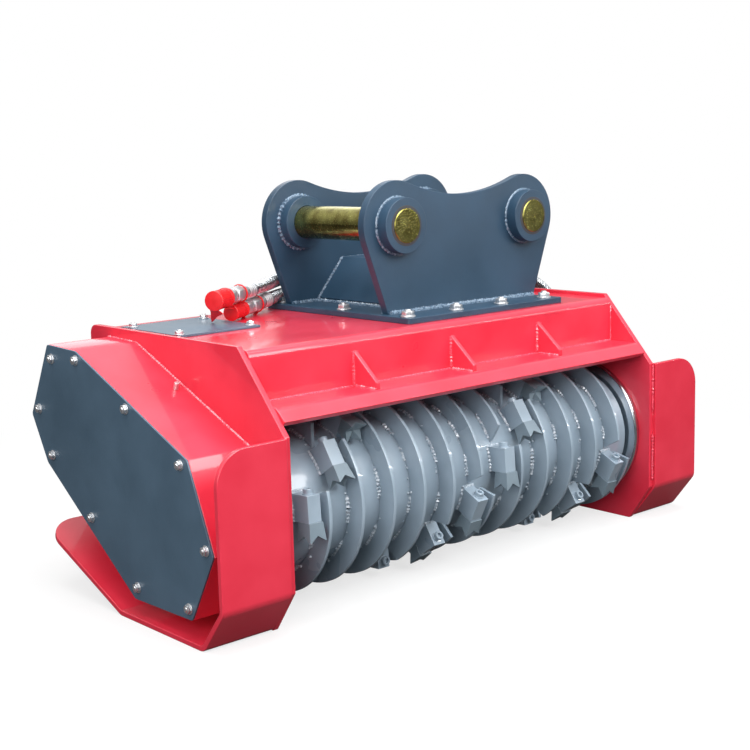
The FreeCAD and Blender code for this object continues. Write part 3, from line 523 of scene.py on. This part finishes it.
def centre_line(points):
    """Points along the route's NURBS curve."""
    curve = route_curve("centre_line", points, 0)
    curve.resolution_u = 24
    curve.splines[0].resolution_u = 24
    mesh = mesh_of(curve)
    line = [v.co.copy() for v in mesh.vertices]
    bpy.data.meshes.remove(mesh)
    return line


def helix_along(line, radius, pitch, steps):
    """Points of a winding of a radius and pitch round a line."""
    made = []
    side = (line[1] - line[0]).orthogonal().normalized()
    travelled = 0.0
    step = pitch / steps
    due = 0.0
    for start, end in zip(line, line[1:]):
        way = (end - start).normalized()
        side = (side - way * side.dot(way)).normalized()
        across = way.cross(side)
        run = (end - start).length
        while due < travelled + run:
            turn = math.tau * due / pitch
            centre = start + way * (due - travelled)
            made.append(centre + (side * math.cos(turn) + across * math.sin(turn)) * radius)
            due += step
        travelled += run
    return made


def merge(bm, part):
    """Adds a finished part to a bmesh and frees it."""
    mesh = bpy.data.meshes.new("part")
    part.to_mesh(mesh)
    part.free()
    bm.from_mesh(mesh)
    bpy.data.meshes.remove(mesh)


def put(bm, part, place):
    """Moves a finished part to its place and adds it to a bmesh."""
    bmesh.ops.transform(part, matrix=place, verts=part.verts)
    bmesh.ops.recalc_face_normals(part, faces=part.faces)
    merge(bm, part)


def turned(bm, profile, place, segments=32):
    """Solid of revolution: the profile's (radius, height) points in millimetres, spun
    round +Z and put at a place."""
    part = bmesh.new()
    points = [part.verts.new((r * MM, 0, h * MM)) for r, h in profile]
    edges = [part.edges.new(pair) for pair in zip(points, points[1:])]
    bmesh.ops.spin(part, geom=points + edges, cent=(0, 0, 0), axis=(0, 0, 1),
                   angle=math.tau, steps=segments, use_merge=True)
    bmesh.ops.remove_doubles(part, verts=part.verts, dist=0.00001)
    put(bm, part, place)


def hexagon(bm, flats, start, end, place, bevel):
    """Hexagonal prism of a width over flats, from start to end along +Z, its edges
    bevelled, put at a place."""
    part = bmesh.new()
    corner = flats / 2 / math.cos(math.pi / 6) * MM
    bmesh.ops.create_circle(part, cap_ends=True, segments=6, radius=corner)
    grown = bmesh.ops.extrude_face_region(part, geom=part.faces[:])
    top = [g for g in grown["geom"] if isinstance(g, bmesh.types.BMVert)]
    bmesh.ops.translate(part, verts=top, vec=(0, 0, (end - start) * MM))
    bmesh.ops.translate(part, verts=part.verts, vec=(0, 0, start * MM))
    bmesh.ops.bevel(part, geom=part.edges[:], offset=bevel * MM, segments=2, profile=0.5,
                    affect="EDGES", material=-1)
    put(bm, part, place)


# Turned parts of a coupler as (radius, height), and its hexagons' starts and ends
COUPLER_TURNED = (
    [(0, 0), (14.6, 0), (15.6, 1), (16, 3), (16, 8), (13.8, 9), (13.8, 11), (16, 12), (16, 17),
     (13.8, 18), (13.8, 20), (16, 21), (16, 26), (13.8, 27), (13.8, 29), (16, 30), (15.6, 33),
     (14, 34), (0, 34)],
    [(0, 34), (11.5, 34), (11.5, 39), (14.5, 41), (14.5, 50), (12, 51.5), (12, 55), (14.2, 57),
     (14.2, 63), (13, 64), (0, 64)],
    [(0, 92), (14.2, 92), (14.2, 97), (15.5, 98), (15.5, 104), (14.2, 105), (0, 105)],
)
COUPLER_HEXAGONS = ((64, 92), (105, 126))
COUPLER_FLATS = 31

# Dust caps: radius, grip ribs with their middle's height and their size in metres, and the
# retaining ring as (radius, height)
CAP_RADII = {"lower": 17.0, "upper": 20.5}
CAP_RIBS = 28
CAP_RIB_HEIGHT = 155
CAP_RIB_SIZE = (0.0016, 0.0015, 0.040, 1)
CAP_RING = [(16.4, 60), (18.4, 59), (19.4, 61.5), (18.4, 64), (16.4, 63), (16.4, 60)]

# Retaining strap: height along the coupler, reach from its axis, and width
STRAP = [(61, 18.5, 8), (76, 24, 7), (96, 26, 7), (116, 23, 7), (130, 17, 9)]
STRAP_HALF_THICKNESS = 1.1

# Loose tab of the upper cap: share of its run and width, the way it faces, and where it
# comes down on the inspection cover
TAB = [(0, 36), (0.4, 17), (0.8, 8), (1, 2)]
TAB_FACING = (-0.8, -0.6, 0)
TAB_END = spot(-335, 462, 503)


def coupler(route, place):
    """Crimped ferrule, sleeve, collar and two hexagons of a hose coupler."""
    bm = bmesh.new()
    for profile in COUPLER_TURNED:
        turned(bm, profile, place)
    for start, end in COUPLER_HEXAGONS:
        hexagon(bm, COUPLER_FLATS, start, end, place, 1.2)
    piece = new_object(f"coupler_{route}_detail", bm, "bright_zinc")
    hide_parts(f"coupler_{route}")
    return piece


def strap(bm, points, widths, out):
    """Flat moulded strip through points, with its widths in millimetres, facing out."""
    part = bmesh.new()
    rings = []
    for i, (point, width) in enumerate(zip(points, widths)):
        way = (points[min(i + 1, len(points) - 1)] - points[max(i - 1, 0)]).normalized()
        across = way.cross(out).normalized() * width / 2 * MM
        thick = across.cross(way).normalized() * STRAP_HALF_THICKNESS * MM
        rings.append([part.verts.new(point + across * u + thick * v)
                      for u, v in ((-1, -1), (1, -1), (1, 1), (-1, 1))])
    for low, high in zip(rings, rings[1:]):
        for k in range(4):
            part.faces.new((low[k], low[(k + 1) % 4], high[(k + 1) % 4], high[k]))
    part.faces.new(rings[0])
    part.faces.new(rings[-1])
    put(bm, part, Matrix())


def dust_cap(route, place):
    """Moulded cap with grip ribs, a rolled lip and a flat end with a rounded rim."""
    r = CAP_RADII[route]
    bm = bmesh.new()
    profile = [(0, 126), (r - 2, 126), (r - 0.3, 127), (r, 129), (r, 133), (r - 0.3, 135),
               (r - 1.6, 136), (r - 1.8, 176), (r - 0.4, 177), (r, 178.5), (r, 182.5),
               (r - 0.8, 183.7), (r - 2.4, 184), (0, 184)]
    turned(bm, profile, place, 48)
    for i in range(CAP_RIBS):
        angle = math.tau * i / CAP_RIBS
        side = Vector((math.cos(angle), math.sin(angle), 0)) * (r - 1.7) * MM
        rib = bmesh.new()
        bmesh.ops.create_cube(rib, size=1)
        put(bm, rib, place @ Matrix.Translation(side + Vector((0, 0, CAP_RIB_HEIGHT * MM)))
            @ Matrix.Rotation(angle, 4, "Z") @ Matrix.Diagonal(CAP_RIB_SIZE))
    turned(bm, CAP_RING, place, 40)
    down = place.to_3x3().inverted() @ Vector((0, 0, -1))
    down = Vector((down.x, down.y, 0)).normalized()
    strap(bm, [place @ (down * (reach * MM) + Vector((0, 0, height * MM)))
               for height, reach, _ in STRAP],
          [width for _, _, width in STRAP], place.to_3x3() @ down)
    if route == "upper":
        start = place @ (down * ((r - 4) * MM) + Vector((0, 0, 176 * MM)))
        tab = bmesh.new()
        strap(tab, [start.lerp(TAB_END, share) for share, _ in TAB],
              [width for _, width in TAB], Vector(TAB_FACING))
        new_object("cap_tab", tab, "red_pvc")
    piece = new_object(f"dust_cap_{route}_detail", bm, "red_pvc")
    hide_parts(f"dust_cap_{route}")
    return piece


class MULCHER_OT_hoses(bpy.types.Operator):
    """Hoses in spring guards, with their couplers and dust caps"""
    bl_idname = "mulcher.hoses"
    bl_label = "Hoses"

    def execute(self, context):
        settings = context.scene.mulcher_hose
        wire = settings.guard_wire
        core = HOSE_RADIUS * MM - wire
        for route, points in HOSE_ROUTES.items():
            places = [spot(*p) for p in points]
            end = facing(places[0], places[0] - places[1])
            places.insert(0, end @ Vector((0, 0, HOSE_IN_COUPLER * MM)))
            name = f"hose_{route}_core"
            hose = dressed(name, route_curve(name, places, core), "hose_rubber")
            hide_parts(f"hose_{route}")

            name = f"hose_{route}_guard"
            winding = helix_along(centre_line(places), core, settings.guard_pitch,
                                  WINDING_STEPS)
            mesh = mesh_of(curve_along(name, "POLY", winding, wire, 1))
            mesh.shade_smooth()
            guard = dressed(name, mesh, "spring_steel")

            with_it = [guard, coupler(route, end), dust_cap(route, end)]
        return {"FINISHED"}


# ---- packed plates with rounded edges

# Finish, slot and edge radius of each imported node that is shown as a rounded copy
RED = ("red_enamel", "red_paint", 1.6)
DARK = ("anthracite_enamel", "dark_paint", 1.2)
# Covers: the anthracite paint made lighter, as painted light
COVER = ("anthracite_enamel_painted_light", "dark_paint", 1.0)
ROTOR = ("rotor_enamel", "rotor_paint", 0.9)
ROUNDED = {
    "side_plate_left": RED, "side_plate_right": RED, "skid_left": RED, "skid_right": RED,
    "hood_plate": RED, "front_shelf": RED, "front_gussets": RED, "chamber_roof": RED,
    "chamber_slope": RED, "chamber_back": RED, "rear_plate": RED, "belt_case_wall": RED,
    "belt_case_cover": COVER, "bracket_base": DARK, "ear_front": DARK, "ear_rear": DARK,
    "pin_bosses_front": DARK, "pin_bosses_rear": DARK, "cross_box": DARK,
    "inspection_cover": COVER, "bearing_housing": DARK, "bearing_cap": DARK,
    "drum_tube": ROTOR, "drum_ribs": ROTOR,
    "tool_holders": ("rotor_enamel", "rotor_paint", 0.8),
    "cutter_teeth": ("tooth_enamel", "tooth_steel", 0.5),
    "counter_knife": ("tooth_enamel", "tooth_steel", 0.8),
    "guard_ring_left": ("turned_steel", "machined_steel", 5.0),
    "guard_ring_right": ("turned_steel", "machined_steel", 5.0),
    "pin_left": ("yellow_zinc", "gold_zinc", 1.5),
    "pin_right": ("yellow_zinc", "gold_zinc", 1.5),
    "drive_motor": ("motor_casting", "motor_iron", 2.0),
    "port_elbows": ("bright_zinc", "bright_zinc", 1.0),
    "grease_nipple": ("bright_zinc", "bright_zinc", 0.6),
}
ROTOR_NODES = ("drum_tube", "drum_ribs", "tool_holders", "cutter_teeth")


def rounded(node, finish, slot, radius):
    """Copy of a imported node, welded into one surface, with its sharp edges rounded."""
    bm = bmesh.new()
    bm.from_mesh(NODES[node].data)
    bmesh.ops.remove_doubles(bm, verts=bm.verts, dist=0.00002)
    bmesh.ops.dissolve_limit(bm, angle_limit=math.radians(0.6), verts=bm.verts, edges=bm.edges)
    mesh = bpy.data.meshes.new(f"{node}_rounded")
    bm.to_mesh(mesh)
    bm.free()
    mesh.shade_smooth()
    piece = dressed(f"{node}_rounded", mesh, finish,
                    "rotor" if node in ROTOR_NODES else "frame")
    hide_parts(node)
    edge = piece.modifiers.new("edge_radius", "BEVEL")
    edge.width = radius * MM
    edge.segments = 2
    edge.limit_method = "ANGLE"
    edge.angle_limit = SHARP_ANGLE
    edge.use_clamp_overlap = True
    flat = piece.modifiers.new("flat_faces", "WEIGHTED_NORMAL")
    flat.weight = 80
    return piece


class MULCHER_OT_plates(bpy.types.Operator):
    """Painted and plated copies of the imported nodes, with rounded edges"""
    bl_idname = "mulcher.plates"
    bl_label = "Plates"

    def execute(self, context):
        for node, look in ROUNDED.items():
            rounded(node, *look)
        return {"FINISHED"}


# ---- bolts, screws and the pins' ends

def around_shaft(place, radius, count):
    """Bolt spots on a circle round the rotor's axis."""
    turns = [math.tau * (i + 0.5) / count for i in range(count)]
    return [(place, ROTOR_DEPTH + radius * math.cos(t), ROTOR_HEIGHT + radius * math.sin(t))
            for t in turns]


# The faces that the bolts sit on
BASE_TOP_HEIGHT = 507.5
COVER_PLACE = -648
HATCH_TOP_HEIGHT = 500.5
# Hexagon bolts with washers: name, nominal size, the way they face and their seats
BOLTS = {
    "bracket_bolts": (14.5, (0, 0, 1), [
        (x, y, BASE_TOP_HEIGHT) for x, y in
        [(-69, 168), (67, 169), (200, 168), (337, 169), (-68, 365), (345, 365),
         (-57, 586), (74, 586), (206, 586), (340, 586)]]),
    "cover_bolts": (9.5, (-1, 0, 0), [
        (COVER_PLACE, y, z) for y, z in
        [(551, 457), (460, 463), (291, 392), (124, 316), (58, 178), (117, 62),
         (283, 62), (434, 165), (571, 265), (613, 352)]]),
    "hatch_bolts": (9.5, (0, 0, 1), [
        (x, y, HATCH_TOP_HEIGHT) for x, y in
        [(-478, 365), (-309, 368), (-473, 537), (-303, 537)]]),
    "bearing_bolts": (10, (1, 0, 0), around_shaft(554, 77, 6)),
    "bearing_cap_bolts": (8, (1, 0, 0), around_shaft(568, 50, 4)),
}

# Pins: places, height, their ends' depths, the bosses' outer faces and the way they face
PIN_SPOTS = (-38.5, 336.5)
PIN_HEIGHT = 684.5
PIN_ENDS = (196, 589)
BOSS_ENDS = (199, 586)
END_WAYS = ((0, -1, 0), (0, 1, 0))
# Turned end of a pin with its centre drilling, a dark ring round it that is painted shade for the
# shadow gap between pin and boss, and the socket head of a holder's screw with its washer, as
# (radius, height)
PIN_FACE = [(0, -3), (1.2, -3), (3.8, 0.3), (33.0, 0.3), (34, -1), (0, -3.5)]
PIN_SHADE_RING = [(35, -1), (40.5, -1), (40.5, 0.4), (39.5, 0.8), (35, 0.8), (35, -1)]
SOCKET_SCREW = [(0, 0), (10.5, 0), (10.5, 1.6), (9, 1.8), (9, 9.2), (8.2, 10), (5, 10),
                (4.6, 9.4), (4.6, 4.5), (0, 4)]
BOLT_SEED = 7


def hex_bolt(bm, size, place, turn):
    """Washer, head and thread end of a hexagon bolt of a nominal size."""
    shape = place @ Matrix.Rotation(turn, 4, "Z")
    turned(bm, [(0, 0), (size, 0), (size * 1.05, 0.4), (size * 1.05, size * 0.16),
                (size, size * 0.2), (0, size * 0.2)], shape, 24)
    hexagon(bm, size * 1.55, size * 0.2, size * 0.8, shape, size * 0.07)
    turned(bm, [(0, size * 0.8), (size * 0.45, size * 0.8), (size * 0.38, size * 1.02),
                (0, size * 1.02)], shape, 16)


class MULCHER_OT_bolts(bpy.types.Operator):
    """Bolts of the bracket, covers and bearing, holder screws, and the pins' ends"""
    bl_idname = "mulcher.bolts"
    bl_label = "Bolts"

    def execute(self, context):
        chance = random.Random(BOLT_SEED)
        for name, (size, way, places) in BOLTS.items():
            bm = bmesh.new()
            for place in places:
                hex_bolt(bm, size, facing(spot(*place), way), chance.uniform(0, math.tau))
            new_object(name, bm, "bright_zinc")
        screws, faces, shade_rings = bmesh.new(), bmesh.new(), bmesh.new()
        seat = (Matrix.Translation(Vector((0, HOLDER_REAR, HOLDER_SCREW_RADIUS)) * MM)
                @ Matrix.Rotation(-math.pi / 2, 4, "X"))
        for number in range(TOOTH_COUNT):
            turned(screws, SOCKET_SCREW, holder_place(number) @ seat, 20)
        for x in PIN_SPOTS:
            for end, boss, way in zip(PIN_ENDS, BOSS_ENDS, END_WAYS):
                turned(faces, PIN_FACE, facing(spot(x, end, PIN_HEIGHT), way), 64)
                turned(shade_rings, PIN_SHADE_RING, facing(spot(x, boss, PIN_HEIGHT), way), 64)
        new_object("holder_screws", screws, "rotor_enamel", "rotor")
        new_object("pin_faces", faces, "yellow_zinc")
        # Dark rubber ring round each pin's end: painted shade for the gap between pin and boss
        new_object("pin_shade_rings", shade_rings, "hose_rubber")
        return {"FINISHED"}


# ---- weld beads

BEAD_SIDES = 6
BEAD_STEP = 3.6
WELD_SEED = 11
# Stitch welds at the ribs' roots: lengths and gaps in degrees, and bead radii
STITCH_LENGTHS = (10, 26)
STITCH_GAPS = (8, 30)
STITCH_RADII = (3.6, 5.2)
DROPS_PER_ROOT = 14
DROP_RADII = (1.2, 3.4)
HOLDER_BEAD_RADII = (3.0, 4.2)
# Faces of the ears that carry bosses, with their beads' radii, and the rings' radius
EAR_BEADS = ((226, 3), (244, 3), (541, 4.5), (559, 3))
BOSS_RING_RADIUS = 57
BOSS_RING_STEPS = 40
# Bead runs on the housing and the bracket: radius, then (place, depth, height) points
RED_RUNS = [
    (2.6, (-499, 114, 401), (499, 114, 401)),
    (2.6, (-499, 116, 401), (-499, 116, 480)),
    (2.6, (499, 116, 401), (499, 116, 480)),
    (2.4, (-500, 96, 402), (-500, 44, 402)),
    (3.2, (-513, 566, 483), (-513, 462, 480), (-513, 104, 327)),
    (3.0, (-513, 104, 327), (-513, 40, 172)),
    (3.0, (-513, 12, 357), (-513, 12, 84)),
    (3.0, (513, 10, 357), (513, 10, 84)),
    (2.2, (508, 5, 357), (508, 5, 250)),
    (2.4, (507, 4, 200), (507, 4, 96)),
    (3.0, (-499, 613, 210), (-499, 613, 484)),
    (3.0, (499, 613, 210), (499, 613, 484)),
]
RED_RUNS += [(3.6, (x, 114, 466), (x, 114, 401), (x, 54, 401))
             for x in (-261, -251, -5, 5, 251, 261)]
DARK_RUNS = [
    (6.5, (-66, 224, 508), (366, 224, 508)),
    (5.5, (-66, 246, 508), (366, 246, 508)),
    (5.5, (-66, 539, 508), (366, 539, 508)),
    (5.5, (-66, 561, 508), (366, 561, 508)),
    (5.0, (7, 539, 512), (78, 539, 596), (220, 539, 596), (291, 539, 512)),
    (5.0, (7, 246, 512), (78, 246, 596), (220, 246, 596), (291, 246, 512)),
    (4.5, (6, 246, 509), (6, 539, 509)),
    (4.5, (292, 246, 509), (292, 539, 509)),
]


def bead(bm, points, radius, chance):
    """Weld bead along points: a tube grown ring by ring, its size rippling."""
    fresh = bmesh.new()
    line = [points[0]]
    for start, end in zip(points, points[1:]):
        count = max(1, round((end - start).length / (BEAD_STEP * MM)))
        line += [start.lerp(end, (i + 1) / count) for i in range(count)]
    bmesh.ops.create_circle(fresh, cap_ends=True, segments=BEAD_SIDES, radius=radius * MM)
    place = facing(line[0], line[1] - line[0])
    bmesh.ops.transform(fresh, matrix=place, verts=fresh.verts)
    rim = fresh.edges[:]
    for i in range(1, len(line)):
        way = line[min(i + 1, len(line) - 1)] - line[i - 1]
        swell = 0.74 if i % 2 else 1.12
        if i == len(line) - 1:
            swell = 0.4
        following = (facing(line[i], way)
                     @ Matrix.Scale(swell * chance.uniform(0.85, 1.18), 4))
        grown = bmesh.ops.extrude_edge_only(fresh, edges=rim)["geom"]
        moved = [g for g in grown if isinstance(g, bmesh.types.BMVert)]
        bmesh.ops.transform(fresh, matrix=following @ place.inverted(), verts=moved)
        rim = [g for g in grown if isinstance(g, bmesh.types.BMEdge)
               and g.verts[0] in moved and g.verts[1] in moved]
        place = following
    bmesh.ops.contextual_create(fresh, geom=rim)
    merge(bm, fresh)


def rib_welds(bm, chance):
    """Stitch welds along both roots of each rib, of uneven length and spacing."""
    for number in range(1, TOOTH_COUNT):
        low, high = rib_span(number)
        for side in (-1, 1):
            place = tooth_place(number) + side * RIB_THICK / 2
            angle = low + chance.uniform(2, 12)
            while angle < high - 8:
                stop = min(angle + chance.uniform(*STITCH_LENGTHS), high)
                count = max(2, round((stop - angle) / 3))
                points = [drum_spot(place + side * chance.uniform(0, 1.5),
                                    angle + (stop - angle) * i / count, DRUM_RADIUS)
                          for i in range(count + 1)]
                bead(bm, points, chance.uniform(*STITCH_RADII), chance)
                angle = stop + chance.uniform(*STITCH_GAPS)


def spatter(bm, chance):
    """Lumps and drops of weld metal beside the roots of the ribs."""
    for number in range(1, TOOTH_COUNT):
        low, high = rib_span(number)
        for side in (-1, 1):
            for _ in range(DROPS_PER_ROOT):
                angle = chance.uniform(low + 4, high - 4)
                out = chance.uniform(2, 6)
                up = chance.choice((0, 0, 0, chance.uniform(0, 9)))
                place = tooth_place(number) + side * (RIB_THICK / 2 + (0.6 if up else out))
                part = bmesh.new()
                bmesh.ops.create_icosphere(part, subdivisions=1,
                                           radius=chance.uniform(*DROP_RADII) * MM)
                put(bm, part, Matrix.Translation(drum_spot(place, angle, DRUM_RADIUS + up)))


def holder_welds(bm, chance):
    """Fillets along both sides and the rear of each holder's foot on the drum."""
    half = HOLDER_WIDTH / 2
    outline = [(-half, HOLDER_FRONT), (-half, 6), (-half, 22), (-half, HOLDER_REAR),
               (half, HOLDER_REAR), (half, 22), (half, 6), (half, HOLDER_FRONT)]
    for number in range(TOOTH_COUNT):
        place = holder_place(number)
        points = [place @ (Vector((x, y, math.sqrt(DRUM_RADIUS ** 2 - y ** 2))) * MM)
                  for x, y in outline]
        bead(bm, points, chance.uniform(*HOLDER_BEAD_RADII), chance)


def boss_welds(bm, chance):
    """Ring beads where the pin bosses stand on the ears' faces."""
    turns = [math.tau * i / BOSS_RING_STEPS for i in range(BOSS_RING_STEPS + 1)]
    for x in PIN_SPOTS:
        for depth, radius in EAR_BEADS:
            ring = [spot(x + BOSS_RING_RADIUS * math.cos(turn), depth,
                         PIN_HEIGHT + BOSS_RING_RADIUS * math.sin(turn)) for turn in turns]
            bead(bm, ring, radius, chance)


class MULCHER_OT_welds(bpy.types.Operator):
    """Weld beads on the rotor, the housing and the bracket"""
    bl_idname = "mulcher.welds"
    bl_label = "Welds"

    def execute(self, context):
        chance = random.Random(WELD_SEED)
        bm = bmesh.new()
        rib_welds(bm, chance)
        spatter(bm, chance)
        # The beads' colour is lighter than the paint around them: painted highlight
        new_object("rib_welds", bm, "rotor_weld_painted_highlight", "rotor")
        bm = bmesh.new()
        holder_welds(bm, chance)
        new_object("holder_welds", bm, "rotor_weld_painted_highlight", "rotor")
        housing, bracket = bmesh.new(), bmesh.new()
        for bm, runs in ((housing, RED_RUNS), (bracket, DARK_RUNS)):
            for radius, *points in runs:
                bead(bm, [spot(*p) for p in points], radius, chance)
        boss_welds(bracket, chance)
        # These beads are also coloured lighter than their plates: painted highlight
        new_object("housing_welds", housing, "red_weld_painted_highlight")
        new_object("bracket_welds", bracket, "anthracite_weld_painted_highlight")
        return {"FINISHED"}


# ---- panel and registration

class MULCHER_PT_panel(bpy.types.Panel):
    bl_label = "Mulcher Head"
    bl_idname = "MULCHER_PT_panel"
    bl_space_type = "VIEW_3D"
    bl_region_type = "UI"
    bl_category = "Mulcher"

    def draw(self, context):
        for group in (context.scene.mulcher_stage, context.scene.mulcher_hose):
            for key in group.__annotations__:
                self.layout.prop(group, key)
        for operator in OPERATORS:
            self.layout.operator(operator.bl_idname)


OPERATORS = (MULCHER_OT_stage, MULCHER_OT_hoses, MULCHER_OT_plates, MULCHER_OT_bolts,
             MULCHER_OT_welds)
CLASSES = (StageSettings, HoseSettings, *OPERATORS, MULCHER_PT_panel)


def register():
    for cls in CLASSES:
        bpy.utils.register_class(cls)
    bpy.types.Scene.mulcher_stage = bpy.props.PointerProperty(type=StageSettings)
    bpy.types.Scene.mulcher_hose = bpy.props.PointerProperty(type=HoseSettings)


def unregister():
    del bpy.types.Scene.mulcher_hose
    del bpy.types.Scene.mulcher_stage
    for cls in reversed(CLASSES):
        bpy.utils.unregister_class(cls)


def main():
    register()
    bpy.ops.mulcher.stage()
    bpy.ops.mulcher.hoses()
    bpy.ops.mulcher.plates()
    bpy.ops.mulcher.bolts()
    bpy.ops.mulcher.welds()
    bpy.context.view_layer.update()


if __name__ == "__main__":
    main()
